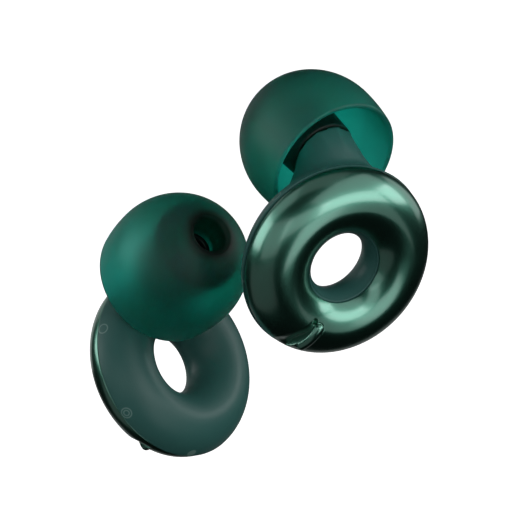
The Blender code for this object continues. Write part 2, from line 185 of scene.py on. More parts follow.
@dataclass(frozen=True)
class RingSection:
    """The rounded oval section of the ring body, in millimetres."""

    radius: float = 8.25
    hole: float = 2.59
    front: float = 2.63
    rear: float = 3.15
    fullness: float = 1.8

    @property
    def middle(self) -> float:
        """The radius of the section's centre."""
        return (self.radius + self.hole) / 2.0

    @property
    def half_width(self) -> float:
        """Half the section's width."""
        return (self.radius - self.hole) / 2.0

    def point(self, turn: float, inset: float = 0.0) -> Point2:
        """A point of the section: turn 0 is its outside and a quarter turn is its front.

        Args:
            turn: the angle round the section, in radians.
            inset: how far the point lies inside the surface.

        Returns:
            The point's radius and height.
        """
        power = 2.0 / self.fullness
        across = math.copysign(abs(math.cos(turn)) ** power, math.cos(turn))
        along = math.copysign(abs(math.sin(turn)) ** power, math.sin(turn))
        depth = self.front if along > 0.0 else self.rear
        return self.middle + (self.half_width - inset) * across, (depth - inset) * along

    def turn_at(self, height: float, inset: float = 0.0) -> float:
        """The angle, within a quarter turn of the outside, where the section has a height."""
        depth = (self.front if height > 0.0 else self.rear) - inset
        share = (abs(height) / depth) ** (self.fullness / 2.0)
        return math.copysign(math.asin(share), height)

    def turn_of(self, radius: float, height: float) -> float:
        """The angle round the section of a point on its surface."""
        power = self.fullness / 2.0
        across = (radius - self.middle) / self.half_width
        along = height / (self.front if height > 0.0 else self.rear)
        return math.atan2(
            math.copysign(abs(along) ** power, along),
            math.copysign(abs(across) ** power, across),
        )

    def level(self, radius: float, height: float) -> float:
        """1 on the surface, less inside it and more outside it."""
        across = abs(radius - self.middle) / self.half_width
        along = abs(height) / (self.front if height > 0.0 else self.rear)
        return across ** self.fullness + along ** self.fullness

    def stretch(self, start: float, end: float, count: int, inset: float = 0.0) -> Outline:
        """Points of the section from one angle to another."""
        return [self.point(start + (end - start) * i / count, inset) for i in range(count + 1)]

    def half_width_at(self, height: float, inset: float = 0.0) -> float:
        """Half the section's width at a height."""
        return self.point(self.turn_at(height, inset), inset)[0] - self.middle


@dataclass(frozen=True)
class PlugSizes:
    """The sizes that several pieces of a plug share, in millimetres and radians."""

    section: RingSection = RingSection()
    wall: float = 0.70
    seam: float = -0.45
    lip: float = 1.30
    running_gap: float = 0.12
    seat_gap: float = 0.10
    tip_out_of_middle: float = 2.17
    tip_behind_ring: float = 3.28
    lean_out: float = math.radians(10.8)
    lean_side: float = math.radians(8.1)
    horn_end: float = -1.51
    nozzle_radius: float = 1.90
    nozzle_bore: float = 1.30
    nozzle_reach: float = 4.60
    nozzle_seat: float = 1.50
    barb_height: float = 0.25
    mode_step: float = math.radians(54.5)
    first_mark: float = math.radians(-115.0)

    @property
    def tip_axis(self) -> Vector:
        """The tip's axis in the ring frame, towards its crown."""
        flat = math.cos(self.lean_side)
        return Vector((
            -math.sin(self.lean_side),
            flat * math.sin(self.lean_out),
            -flat * math.cos(self.lean_out),
        ))

    @property
    def tip_in_ring(self) -> Matrix:
        """The tip frame in the ring frame."""
        out = self.section.middle + self.tip_out_of_middle
        back = self.section.rear + self.tip_behind_ring
        turn = self.tip_axis.to_track_quat("Z", "Y").to_matrix().to_4x4()
        return Matrix.Translation((0.0, out, -back)) @ turn

    @property
    def nozzle_end(self) -> float:
        """The height of the nozzle's mouth in the tip frame."""
        return self.horn_end + self.nozzle_reach

    @property
    def barb_radius(self) -> float:
        """The nozzle's radius over its barb."""
        return self.nozzle_radius + self.barb_height


# --------------------------------------------------------------------------------------------
# Mesh work


def spun(outline: Outline, sweeps: Sequence[tuple[float, int]], start: float = 0.0) -> Shape:
    """Turn a closed outline once round local Z.

    Args:
        outline: points of radius and height.
        sweeps: the sweep of each stretch of the turn, in radians, with its number of steps.
        start: the angle at which the outline first stands.

    Returns:
        A closed shape.
    """
    shape = bmesh.new()
    where = Matrix.Rotation(start, 3, "Z")
    corners = [shape.verts.new(where @ Vector((r, 0.0, h))) for r, h in outline]
    edges = [shape.edges.new((corners[i - 1], corners[i])) for i in range(len(corners))]
    last = corners + edges
    for sweep, steps in sweeps:
        result = bmesh.ops.spin(
            shape, geom=last, axis=Z_AXIS, cent=(0.0, 0.0, 0.0), angle=sweep, steps=steps,
            use_merge=False,
        )
        last = result["geom_last"]
    bmesh.ops.remove_doubles(shape, verts=shape.verts, dist=MERGE_DISTANCE)
    bmesh.ops.recalc_face_normals(shape, faces=shape.faces)
    return shape


def turned(outline: Outline, steps: int) -> Shape:
    """Turn a closed outline once round local Z in equal steps."""
    return spun(outline, [(math.tau, steps)])


def swept_bar(outline: Outline, start: float, sweep: float, steps: int) -> Shape:
    """Sweep a closed outline through part of a turn round local Z, with closed ends.

    Args:
        outline: points of radius and height.
        start: the angle of the first end, in radians.
        sweep: the sweep, in radians.
        steps: the number of steps.

    Returns:
        A closed bar.
    """
    shape = bmesh.new()
    where = Matrix.Rotation(start, 3, "Z")
    face = shape.faces.new([shape.verts.new(where @ Vector((r, 0.0, h))) for r, h in outline])
    bmesh.ops.spin(
        shape, geom=[face], axis=Z_AXIS, cent=(0.0, 0.0, 0.0), angle=sweep, steps=steps,
    )
    bmesh.ops.recalc_face_normals(shape, faces=shape.faces)
    return shape


def round_bar(
    radius: float, low: float, high: float, steps: int, spot: Point2 = (0.0, 0.0)
) -> Shape:
    """A plain round bar along local Z, between two heights.

    Args:
        radius: the bar's radius.
        low: the height of its foot.
        high: the height of its top.
        steps: the number of its sides.
        spot: where its axis stands.

    Returns:
        A closed bar.
    """
    shape = bmesh.new()
    bmesh.ops.create_cone(
        shape, cap_ends=True, segments=steps, radius1=radius, radius2=radius,
        depth=high - low, matrix=Matrix.Translation((spot[0], spot[1], (low + high) / 2.0)),
    )
    return shape


def lofted(sections: Sequence[Sequence[Vector]]) -> Shape:
    """Bridge a row of equal closed loops and close the two ends.

    Args:
        sections: the loops, each a list of points in the same order.

    Returns:
        A closed shape.
    """
    shape = bmesh.new()
    loops = []
    for section in sections:
        corners = [shape.verts.new(point) for point in section]
        loops.append([shape.edges.new((corners[i - 1], corners[i])) for i in range(len(corners))])
    for near, far in zip(loops[:-1], loops[1:]):
        bmesh.ops.bridge_loops(shape, edges=near + far)
    bmesh.ops.edgeloop_fill(shape, edges=loops[0])
    bmesh.ops.edgeloop_fill(shape, edges=loops[-1])
    bmesh.ops.recalc_face_normals(shape, faces=shape.faces)
    return shape


def scratch_object(shape: Shape, name: str) -> bpy.types.Object:
    """Put a shape on a throw-away object, so that a modifier can work on it."""
    mesh = bpy.data.meshes.new(name)
    shape.to_mesh(mesh)
    shape.free()
    thing = bpy.data.objects.new(name, mesh)
    bpy.context.scene.collection.objects.link(thing)
    return thing


def evaluated(thing: bpy.types.Object, *others: bpy.types.Object) -> Shape:
    """Take an object's shape with its modifiers done, and throw the objects away.

    Args:
        thing: the object that carries the modifiers.
        others: the objects that its modifiers use.

    Returns:
        The finished shape.
    """
    depsgraph = bpy.context.evaluated_depsgraph_get()
    depsgraph.update()
    shape = bmesh.new()
    shape.from_object(thing, depsgraph)
    for used in (thing, *others):
        mesh = used.data
        bpy.data.objects.remove(used)
        bpy.data.meshes.remove(mesh)
    return shape


def carved(shape: Shape, tool: Shape, operation: str) -> Shape:
    """Join a tool shape to a shape, or cut it away.

    Args:
        shape: what is worked on.
        tool: the shape that is joined or cut away.
        operation: UNION or DIFFERENCE.

    Returns:
        The worked shape. Both shapes that went in are used up.
    """
    work = scratch_object(shape, "work")
    cutter = scratch_object(tool, "tool")
    modifier = work.modifiers.new("carve", "BOOLEAN")
    modifier.operation = operation
    modifier.object = cutter
    modifier.solver = "EXACT"
    return evaluated(work, cutter)


def remeshed(shape: Shape, voxel: float) -> Shape:
    """Rebuild a shape on an even grid, which also fuses parts that overlap."""
    work = scratch_object(shape, "work")
    modifier = work.modifiers.new("even grid", "REMESH")
    modifier.mode = "VOXEL"
    modifier.voxel_size = voxel
    modifier.adaptivity = 0.0
    return evaluated(work)


def relax(shape: Shape, corners: Sequence[bmesh.types.BMVert]) -> None:
    """Smooth some corners of a shape once."""
    bmesh.ops.smooth_vert(
        shape, verts=corners, factor=0.5, use_axis_x=True, use_axis_y=True, use_axis_z=True)


def softened(shape: Shape, near: KDTree, reach: float, rounds: int) -> None:
    """Smooth a shape round some points, most at the points and less further away.

    Args:
        shape: the shape, changed in place.
        near: the points, for finding how far each vertex is.
        reach: how far the smoothing reaches.
        rounds: how many times the innermost vertices are smoothed.
    """
    reaches = [(near.find(corner.co)[2], corner) for corner in shape.verts]
    reaches = [(away, corner) for away, corner in reaches if away < reach]
    for i in range(rounds):
        limit = reach * (1.0 - i / rounds)
        relax(shape, [corner for away, corner in reaches if away < limit])


# --------------------------------------------------------------------------------------------
# Finishes


class NodeSheet:
    """A material under construction: its nodes, its links and its shader."""

    def __init__(self, name: str) -> None:
        """Start a material with one shader wired to its output."""
        self.material = bpy.data.materials.new(name)
        self.material.use_nodes = True
        self.nodes = self.material.node_tree.nodes
        self.links = self.material.node_tree.links
        self.nodes.clear()
        self.shader = self.nodes.new("ShaderNodeBsdfPrincipled")
        self.output = self.nodes.new("ShaderNodeOutputMaterial")
        self.links.new(self.shader.outputs["BSDF"], self.output.inputs["Surface"])
        self.place = self.nodes.new("ShaderNodeTexCoord").outputs["Object"]

    def add(self, kind: str, settings: dict | None = None, **sockets: object) -> bpy.types.Node:
        """Add a node.

        Args:
            kind: the node's type.
            settings: properties of the node.
            sockets: values or output sockets for its inputs. An underscore stands for a space.

        Returns:
            The node.
        """
        node = self.nodes.new(kind)
        for key, value in (settings or {}).items():
            setattr(node, key, value)
        for key, value in sockets.items():
            self.feed(node.inputs[key.replace("_", " ")], value)
        return node

    def feed(self, socket: Socket, value: object) -> None:
        """Link an output to a socket, or set the socket's own value."""
        if isinstance(value, Socket):
            self.links.new(value, socket)
        else:
            socket.default_value = value

    def math(self, operation: str, first: object, second: object = 0.0) -> Socket:
        """Add a Math node and return its result."""
        node = self.nodes.new("ShaderNodeMath")
        node.operation = operation
        self.feed(node.inputs[0], first)
        self.feed(node.inputs[1], second)
        return node.outputs[0]

    def noise(self, grain: float, detail: float = 3.0, place: object = None) -> Socket:
        """Noise whose blotches are about grain millimetres across.

        Args:
            grain: the size of a blotch.
            detail: the noise's detail.
            place: the coordinates it reads, the object's own by default.

        Returns:
            The noise's factor.
        """
        node = self.add("ShaderNodeTexNoise", Scale=1.0 / (grain * MM), Detail=detail)
        self.links.new(self.place if place is None else place, node.inputs["Vector"])
        return node.outputs["Fac"]

    def ranged(
        self, value: object, low: float, high: float, to_low: float, to_high: float
    ) -> Socket:
        """Map a value from one range to another, held at both ends.

        Args:
            value: the value or output that is mapped.
            low: the low end of its own range.
            high: the high end of its own range.
            to_low: what the low end becomes.
            to_high: what the high end becomes.

        Returns:
            The mapped value.
        """
        node = self.add(
            "ShaderNodeMapRange",
            Value=value, From_Min=low, From_Max=high, To_Min=to_low, To_Max=to_high,
        )
        return node.outputs["Result"]

    def uneven(self, pattern: Socket, low: float, high: float) -> Socket:
        """A value that follows a noise pattern, between two ends."""
        return self.ranged(pattern, NOISE_LOW, NOISE_HIGH, low, high)

    def blend(self, share: object, first: object, second: object) -> Socket:
        """Mix two colours by a share."""
        node = self.add("ShaderNodeMix", {"data_type": "RGBA"})
        self.feed(node.inputs["Factor"], share)
        colours = [socket for socket in node.inputs if socket.type == "RGBA"]
        self.feed(colours[0], first)
        self.feed(colours[1], second)
        return next(socket for socket in node.outputs if socket.type == "RGBA")

    def bump(self, height: object, depth: float, strength: float = 1.0) -> None:
        """Wire a height pattern, depth millimetres deep, to the shader's normal."""
        node = self.add("ShaderNodeBump", Height=height, Distance=depth * MM, Strength=strength)
        self.links.new(node.outputs["Normal"], self.shader.inputs["Normal"])

    def set(self, **sockets: object) -> None:
        """Set or link the shader's own inputs. An underscore stands for a space."""
        for key, value in sockets.items():
            self.feed(self.shader.inputs[key.replace("_", " ")], value)


@dataclass(frozen=True)
class MetallisedFinish:
    """Vapour-metallised plastic under a thin clear lacquer, with a satin sheen."""

    deep: Colour = (0.070, 0.290, 0.207, 1.0)
    light: Colour = (0.080, 0.310, 0.223, 1.0)
    roughness: float = 0.30
    lacquer: float = 1.0
    lacquer_roughness: float = 0.17
    lacquer_index: float = 1.9
    unevenness: float = 0.03
    cloud_size: float = 2.4
    flake_size: float = 0.045
    peel_size: float = 0.60
    peel_depth: float = 0.0012

    def material(self, name: str) -> bpy.types.Material:
        """Build the material."""
        sheet = NodeSheet(name)
        cloud = sheet.noise(self.cloud_size)
        flake = sheet.noise(self.flake_size, detail=1.0)
        colour = sheet.blend(cloud, self.deep, self.light)
        spread = sheet.math("MULTIPLY", sheet.math("ADD", cloud, flake), 0.5)
        low, high = self.roughness - self.unevenness, self.roughness + self.unevenness
        sheet.set(
            Base_Color=colour, Metallic=1.0, Roughness=sheet.uneven(spread, low, high),
            Coat_Weight=self.lacquer, Coat_Roughness=self.lacquer_roughness,
            Coat_IOR=self.lacquer_index,
        )
        sheet.bump(sheet.noise(self.peel_size, detail=2.0), self.peel_depth)
        return sheet.material


@dataclass(frozen=True)
class PrintedMark:
    """A small printed mark on the shell: one or two rings, or a filled dot."""

    rings: tuple[float, ...]
    line: float = 0.10
    filled: float = 0.0

    def share(self, sheet: NodeSheet, centre: Vector) -> Socket:
        """How much of the print lies at each point, from 0 to 1.

        Args:
            sheet: the material under construction.
            centre: the mark's centre, in metres.

        Returns:
            The share.
        """
        gap = sheet.add("ShaderNodeVectorMath", {"operation": "DISTANCE"})
        sheet.links.new(sheet.place, gap.inputs[0])
        gap.inputs[1].default_value = centre
        away = gap.outputs["Value"]
        fade = self.line * MM / 3.0
        half = self.line * MM / 2.0
        total: object = 0.0
        if self.filled > 0.0:
            rim = self.filled * MM
            total = sheet.ranged(away, rim - fade, rim + fade, 1.0, 0.0)
        for radius in self.rings:
            off = sheet.math("ABSOLUTE", sheet.math("SUBTRACT", away, radius * MM))
            ring = sheet.ranged(off, half - fade, half + fade, 1.0, 0.0)
            total = sheet.math("MAXIMUM", total, ring)
        return total


@dataclass(frozen=True)
class MattePlasticFinish:
    """Fine matte moulded plastic, with printed marks where a piece has them."""

    deep: Colour
    light: Colour
    roughness: float = 0.50
    grain: float = 0.10
    grain_depth: float = 0.004
    sheen: float = 0.0
    specular: float = 0.5
    print_colour: Colour = (0.20, 0.34, 0.31, 1.0)
    print_cover: float = 0.75
    unevenness: float = 0.04
    cloud_size: float = 3.0
    sheen_roughness: float = 0.4

    def material(
        self, name: str, marks: Sequence[tuple[PrintedMark, Vector]] = ()
    ) -> bpy.types.Material:
        """Build the material.

        Args:
            name: the material's name.
            marks: printed marks with their centres in metres.

        Returns:
            The material.
        """
        sheet = NodeSheet(name)
        cloud = sheet.noise(self.cloud_size)
        grain = sheet.noise(self.grain, detail=2.0)
        colour = sheet.blend(cloud, self.deep, self.light)
        shares = [mark.share(sheet, centre) for mark, centre in marks]
        for share in shares:
            cover = sheet.math("MULTIPLY", share, self.print_cover)
            colour = sheet.blend(cover, colour, self.print_colour)
        low, high = self.roughness - self.unevenness, self.roughness + self.unevenness
        sheet.set(
            Base_Color=colour, Metallic=0.0, Roughness=sheet.uneven(grain, low, high),
            Specular_IOR_Level=self.specular, Sheen_Weight=self.sheen,
            Sheen_Roughness=self.sheen_roughness,
        )
        sheet.bump(grain, self.grain_depth)
        return sheet.material


@dataclass(frozen=True)
class SiliconeFinish:
    """Translucent tinted silicone with a satin, slightly dusty skin, and painted shade on its core
    round the nozzle.
    """

    deep: Colour = (0.095, 0.900, 0.735, 1.0)
    light: Colour = (0.110, 0.960, 0.800, 1.0)
    # painted shade: near-black green standing in for the shade of the dark nozzle seen through the
    # thick silicone
    painted_core_shade: Colour = (0.003, 0.060, 0.045, 1.0)
    depths: Colour = (0.0, 0.86, 0.83, 1.0)
    density: float = 1500.0
    roughness: float = 0.48
    clearness: float = 0.94
    unevenness: float = 0.04
    specular: float = 0.3
    index: float = 1.41
    glow: tuple[float, float, float] = (0.35, 1.0, 0.85)
    glow_depth: float = 1.2
    cloud_size: float = 2.2
    dust_size: float = 0.12
    dust_depth: float = 0.003

    def material(self, name: str) -> bpy.types.Material:
        """Build the material. Painted shade darkens the base colour towards the core colour where
        the mesh's core attribute is 1.
        """
        sheet = NodeSheet(name)
        cloud = sheet.noise(self.cloud_size)
        dust = sheet.noise(self.dust_size, detail=2.0)
        # painted shade: the core attribute blends the skin towards the dark core colour
        painted_core_shade = sheet.add("ShaderNodeAttribute", {"attribute_name": PAINTED_SHADE_ATTRIBUTE}).outputs["Fac"]
        skin = sheet.blend(cloud, self.deep, self.light)
        low, high = self.roughness - self.unevenness, self.roughness + self.unevenness
        sheet.set(
            Base_Color=sheet.blend(painted_core_shade, skin, self.painted_core_shade), Metallic=0.0,
            Roughness=sheet.uneven(dust, low, high), IOR=self.index,
            Specular_IOR_Level=self.specular,
            Transmission_Weight=self.clearness, Subsurface_Weight=1.0,
            Subsurface_Radius=self.glow, Subsurface_Scale=self.glow_depth * MM,
        )
        body = sheet.add("ShaderNodeVolumeAbsorption", Color=self.depths, Density=self.density)
        sheet.links.new(body.outputs["Volume"], sheet.output.inputs["Volume"])
        sheet.bump(dust, self.dust_depth)
        return sheet.material


@dataclass(frozen=True)
class SteelFinish:
    """Bare rolled spring steel."""

    colour: Colour = (0.55, 0.55, 0.53, 1.0)
    smoothest: float = 0.22
    roughest: float = 0.36
    streak_size: float = 0.25
    streak_pull: float = 9.0
    streak_depth: float = 0.002

    def material(self, name: str) -> bpy.types.Material:
        """Build the material."""
        sheet = NodeSheet(name)
        streak = sheet.add("ShaderNodeMapping", Scale=(1.0, 1.0, self.streak_pull))
        sheet.links.new(sheet.place, streak.inputs["Vector"])
        lines = sheet.noise(self.streak_size, detail=4.0, place=streak.outputs["Vector"])
        roughness = sheet.uneven(lines, self.smoothest, self.roughest)
        sheet.set(Base_Color=self.colour, Metallic=1.0, Roughness=roughness)
        sheet.bump(lines, self.streak_depth)
        return sheet.material


@dataclass(frozen=True)
class FoamFinish:
    """Dark closed-cell foam."""

    wall: Colour = (0.030, 0.032, 0.032, 1.0)
    pore: Colour = (0.010, 0.011, 0.011, 1.0)
    cell: float = 0.14
    pit_edge: float = 0.6
    pit_depth: float = 0.03
    roughness: float = 0.85

    def material(self, name: str) -> bpy.types.Material:
        """Build the material."""
        sheet = NodeSheet(name)
        cells = sheet.add("ShaderNodeTexVoronoi", Scale=1.0 / (self.cell * MM))
        sheet.links.new(sheet.place, cells.inputs["Vector"])
        pits = sheet.ranged(cells.outputs["Distance"], 0.0, self.pit_edge, 0.0, 1.0)
        colour = sheet.blend(pits, self.pore, self.wall)
        sheet.set(Base_Color=colour, Roughness=self.roughness)
        sheet.bump(pits, self.pit_depth)
        return sheet.material


@dataclass(frozen=True)
class WovenFinish:
    """Fine woven acoustic cloth."""

    thread: Colour = (0.070, 0.085, 0.080, 1.0)
    gap: Colour = (0.008, 0.010, 0.010, 1.0)
    pitch: float = 0.16
    roughness: float = 0.6
    thread_depth: float = 0.02

    def material(self, name: str) -> bpy.types.Material:
        """Build the material."""
        sheet = NodeSheet(name)
        waves = []
        for direction in ("X", "Y"):
            wave = sheet.add(
                "ShaderNodeTexWave", {"wave_type": "BANDS", "bands_direction": direction},
                Scale=1.0 / (self.pitch * MM * math.pi),
            )
            sheet.links.new(sheet.place, wave.inputs["Vector"])
            waves.append(wave.outputs["Fac"])
        weave = sheet.math("MAXIMUM", waves[0], waves[1])
        sheet.set(Base_Color=sheet.blend(weave, self.gap, self.thread), Roughness=self.roughness)
        sheet.bump(weave, self.thread_depth)
        return sheet.material


class Palette:
    """Every finish of the pair, made once and handed out by the record's slot names."""

    def __init__(self) -> None:
        """Build the shared materials."""
        self.shell = MattePlasticFinish(
            (0.033, 0.128, 0.115, 1.0), (0.040, 0.142, 0.128, 1.0), roughness=0.42, specular=0.45)
        inner = MattePlasticFinish((0.030, 0.036, 0.036, 1.0), (0.040, 0.047, 0.046, 1.0))
        black = MattePlasticFinish(
            (0.006, 0.018, 0.015, 1.0), (0.008, 0.022, 0.018, 1.0), roughness=0.34,
            grain_depth=0.002)
        self.materials = {
            "dial_metal": MetallisedFinish().material("metallised_dial_green"),
            "tip_silicone": SiliconeFinish().material("translucent_silicone"),
            "nozzle_black": black.material("satin_black_plastic"),
            "inner_plastic": inner.material("dark_inner_plastic"),
            "spring_steel": SteelFinish().material("bare_spring_steel"),
            "gasket_foam": FoamFinish().material("closed_cell_foam"),
            "filter_mesh": WovenFinish().material("woven_acoustic_cloth"),
        }

    def shell_material(
        self, side: Side, marks: Sequence[tuple[PrintedMark, Vector]]
    ) -> bpy.types.Material:
        """The matte shell finish with one plug's printed marks."""
        return self.shell.material(f"{side.value}_matte_shell", marks)


# --------------------------------------------------------------------------------------------
# Placing


@dataclass
class Bench:
    """One plug's place in the world, and the palette and names its pieces take."""

    side: Side
    sizes: PlugSizes
    palette: Palette
    ring: Matrix = field(init=False)
    dial_turn: float = field(init=False)

    def __post_init__(self) -> None:
        """Read the ring's place and the dial's rest angle from the frame's joints."""
        joints = {joint["name"]: joint for joint in frame["record"]["behaviour"]["joints"]}
        dial = joints[f"{self.side.value}_dial_turn"]
        tip = joints[f"{self.side.value}_tip_pull"]
        facing = Vector(dial["axis"]).normalized()
        pull = Vector(tip["axis"]).normalized()
        drawn = self.sizes.tip_axis
        mirror = 1.0 if self.side is Side.RIGHT else -1.0
        bearing = math.atan2(drawn.y, drawn.x * mirror)
        flat = (pull - facing * pull.dot(facing)).normalized()
        across = flat * math.cos(bearing) - facing.cross(flat) * math.sin(bearing)
        turn = Matrix((across, facing.cross(across), facing)).transposed().to_4x4()
        hand = Matrix.Diagonal((MM * mirror, MM, MM, 1.0))
        self.ring = Matrix.Translation(Vector(dial["pos_m"])) @ turn @ hand
        low, high = dial["range_deg"]
        self.dial_turn = -math.radians(abs(high if self.side is Side.RIGHT else low))

    def matrix(self, holder: Holder) -> Matrix:
        """The matrix from a drawing frame, in millimetres, to the world, in metres."""
        return self.ring if holder is Holder.RING else self.ring @ self.sizes.tip_in_ring

    def node(self, part: str) -> str:
        """The name of a CAD node of this plug."""
        return f"{self.side.value}_{part}"

    def finish(
        self,
        shape: Shape,
        name: str,
        part: str,
        holder: Holder,
        body: str,
        slot: str,
        material: bpy.types.Material | None = None,
        sharp: float = SHARP_ANGLE,
    ) -> bpy.types.Object:
        """Place a shape in the world, shade it, and book it with the frame.

        Args:
            shape: the shape, in millimetres. It is used up.
            name: the piece's name, without the side.
            part: the CAD node it stands for, without the side.
            holder: the frame it is drawn in.
            body: the body it rides on, without the side.
            slot: the record's material slot.
            material: its material, the slot's own by default.
            sharp: the angle between faces from which an edge is shaded sharp.

        Returns:
            The piece.
        """
        placing = self.matrix(holder)
        bmesh.ops.transform(shape, matrix=placing, verts=shape.verts)
        if placing.determinant() < 0.0:
            bmesh.ops.reverse_faces(shape, faces=shape.faces)
        mesh = bpy.data.meshes.new(self.node(name))
        shape.to_mesh(mesh)
        shape.free()
        mesh.shade_smooth()
        mesh.set_sharp_from_angle(angle=sharp)
        mesh.materials.append(material or self.palette.materials[slot])
        piece = bpy.data.objects.new(self.node(name), mesh)
        bpy.context.scene.collection.objects.link(piece)
        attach(piece, self.node(body))
        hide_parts(self.node(part))
        log.info("%s: %d faces, rides on %s", piece.name, len(mesh.polygons), self.node(body))
        return piece


# --------------------------------------------------------------------------------------------
# Pieces


@dataclass
class MetalDial:
    """The hollow metallised front of the ring, with the finger ridge, its pocket and the port."""

    bench: Bench
    ridge_angle: float = math.radians(-115.0)
    ridge_radius: float = 0.46
    ridge_height: float = 0.37
    ridge_start: float = math.radians(103.0)
    ridge_end: float = math.radians(36.0)
    crease_depth: float = 0.06
    wall_run: float = 0.12
    floor_run: float = 1.60
    shallow_depth: float = 0.12
    pocket_depth: float = 0.66
    pocket_run: float = 2.3
    pocket_past_ridge: float = 0.45
    pocket_fade: float = 0.65
    outer_fade: tuple[float, float] = (math.radians(4.0), math.radians(34.0))
    narrowest: float = 0.35
    steepest_run: float = 0.03
    floor_curve: float = 1.25
    ridge_curve: float = 0.75
    crease_reach: float = 1.08
    crease_width: float = 0.07
    port_radius: float = 0.26
    port_depth: float = 0.55
    port_swing: float = math.radians(-7.0)
    port_past_ridge: float = 0.05
    edge_round: float = 0.10
    edge_steps: int = 5
    fine_start: float = math.radians(12.0)
    fine_end: float = math.radians(124.0)
    fine_steps: int = 134
    inner_steps: int = 30
    start_swing: float = math.radians(10.0)
    sculpted_swing: float = math.radians(28.0)
    sweeps: tuple[tuple[float, int], ...] = ((-13.0, 40), (-7.0, 70), (-18.0, 50), (-322.0, 161))
    lengths: list[float] = field(default_factory=list)

    def outline(self) -> Outline:
        """The dial's closed section: the outside, fine where the ridge stands, and the inside."""
        sizes = self.bench.sizes
        section = sizes.section
        seam = sizes.seam + sizes.running_gap
        lip = sizes.lip + sizes.running_gap
        low, high = section.turn_at(seam), math.pi - section.turn_at(lip)
        outer = section.stretch(low, self.fine_start, 8)[:-1]
        outer += section.stretch(self.fine_start, self.fine_end, self.fine_steps)[:-1]
        outer += section.stretch(self.fine_end, high, 10)
        wall = sizes.wall
        start, end = math.pi - section.turn_at(lip, wall), section.turn_at(seam, wall)
        inner = section.stretch(start, end, self.inner_steps, wall)
        corners = [len(outer) - 1, len(outer), len(outer) + len(inner) - 1, 0]
        return self.round_edges(outer + inner, corners)

    def round_edges(self, points: Outline, corners: Iterable[int]) -> Outline:
        """Ease the section's four corners with a small rounding."""
        result: Outline = []
        chosen = set(corners)
        count = len(points)
        for i, point in enumerate(points):
            if i not in chosen:
                result.append(point)
                continue
            here = Vector(point)
            back = (Vector(points[i - 1]) - here).normalized() * self.edge_round
            ahead = (Vector(points[(i + 1) % count]) - here).normalized() * self.edge_round
            for k in range(self.edge_steps + 1):
                share = k / self.edge_steps
                point = here + back * (1 - share) ** 2 + ahead * share ** 2
                result.append((point.x, point.y))
        return result

    def measure(self) -> None:
        """Measure the section's arc length from its outside, a degree at a time."""
        section = self.bench.sizes.section
        spots = [Vector(section.point(math.radians(degree))) for degree in range(181)]
        self.lengths = [0.0]
        for here, after in zip(spots[:-1], spots[1:]):
            self.lengths.append(self.lengths[-1] + (after - here).length)

    def along(self, turn: float) -> float:
        """The arc length from the section's outside to an angle of the section."""
        degrees = min(max(math.degrees(turn), 0.0), 179.0)
        whole = int(degrees)
        low, high = self.lengths[whole], self.lengths[whole + 1]
        return low + (high - low) * (degrees - whole)

    def pocket(self, gap: float, place: float, inner_end: float) -> float:
        """How deep the pocket beside the ridge is.

        Args:
            gap: the distance from the ridge's flank, into the pocket.
            place: the arc length from the section's outside.
            inner_end: the arc length at the ridge's inner end.

        Returns:
            The depth: a steep wall under the ridge, then a floor that rises away from it.
        """
        share = smooth_share(inner_end - place, -self.pocket_past_ridge, self.pocket_run)
        depth = self.shallow_depth + (self.pocket_depth - self.shallow_depth) * share
        depth *= smooth_share(inner_end - place, -self.pocket_fade, 0.0)
        depth *= smooth_share(place, *(self.along(turn) for turn in self.outer_fade))
        wall = max(self.wall_run * depth / self.pocket_depth, self.steepest_run)
        floor = self.floor_run * (self.narrowest + (1.0 - self.narrowest) * share)
        if gap < wall:
            return depth * gap / wall
        return depth * max(1.0 - (gap - wall) / floor, 0.0) ** self.floor_curve

    def rise(self, across: float, turn: float) -> float:
        """How far the surface stands out or dips at a point.

        Args:
            across: the distance from the ridge's middle plane, positive away from the pocket.
            turn: the point's angle round the section.

        Returns:
            The rise, in millimetres. It is negative in the pocket.
        """
        place = self.along(turn)
        outer_end = self.along(self.ridge_end) + self.ridge_radius
        inner_end = self.along(self.ridge_start) - self.ridge_radius
        beyond = max(outer_end - place, place - inner_end, 0.0)
        reach = math.hypot(across, beyond) / self.ridge_radius
        if reach < 1.0:
            return self.ridge_height * (1.0 - reach ** 2) ** self.ridge_curve
        off = (reach - self.crease_reach) / self.crease_width
        crease = self.crease_depth * math.exp(-(off ** 2))
        if across > 0.0:
            return -crease
        return -max(crease, self.pocket(-across - self.ridge_radius, place, inner_end))

    def sink_port(self, corner: Vector, angle: float) -> float:
        """How deep the port is at a point of the dial."""
        turn = angle + self.port_swing
        reach = self.bench.sizes.section.point(self.ridge_start)[0] + self.port_past_ridge
        away = math.hypot(corner.x - reach * math.cos(turn), corner.y - reach * math.sin(turn))
        floor, rim = self.port_radius * 0.75, self.port_radius * 1.15
        return self.port_depth * (1.0 - smooth_share(away, floor, rim))

    def sculpt(self, shape: Shape, angle: float) -> None:
        """Raise the ridge and sink the pocket and the port on the dial's outside."""
        section = self.bench.sizes.section
        shape.normal_update()
        moves = []
        for corner in shape.verts:
            radius = math.hypot(corner.co.x, corner.co.y)
            if corner.co.z < 0.0 or section.level(radius, corner.co.z) < ON_SURFACE:
                continue
            swing = math.remainder(math.atan2(corner.co.y, corner.co.x) - angle, math.tau)
            if abs(swing) > self.sculpted_swing:
                continue
            rise = self.rise(radius * math.sin(swing), section.turn_of(radius, corner.co.z))
            rise -= self.sink_port(corner.co, angle)
            if rise != 0.0:
                moves.append((corner, corner.normal * rise))
        for corner, move in moves:
            corner.co += move

    def build(self) -> None:
        """Turn, sculpt and place the dial."""
        self.measure()
        angle = self.ridge_angle + self.bench.dial_turn
        sweeps = [(math.radians(sweep), steps) for sweep, steps in self.sweeps]
        shape = spun(self.outline(), sweeps, angle + self.start_swing)
        self.sculpt(shape, angle)
        self.bench.finish(
            shape, "metal_dial", "dial", Holder.RING, "dial", "dial_metal", sharp=math.pi)


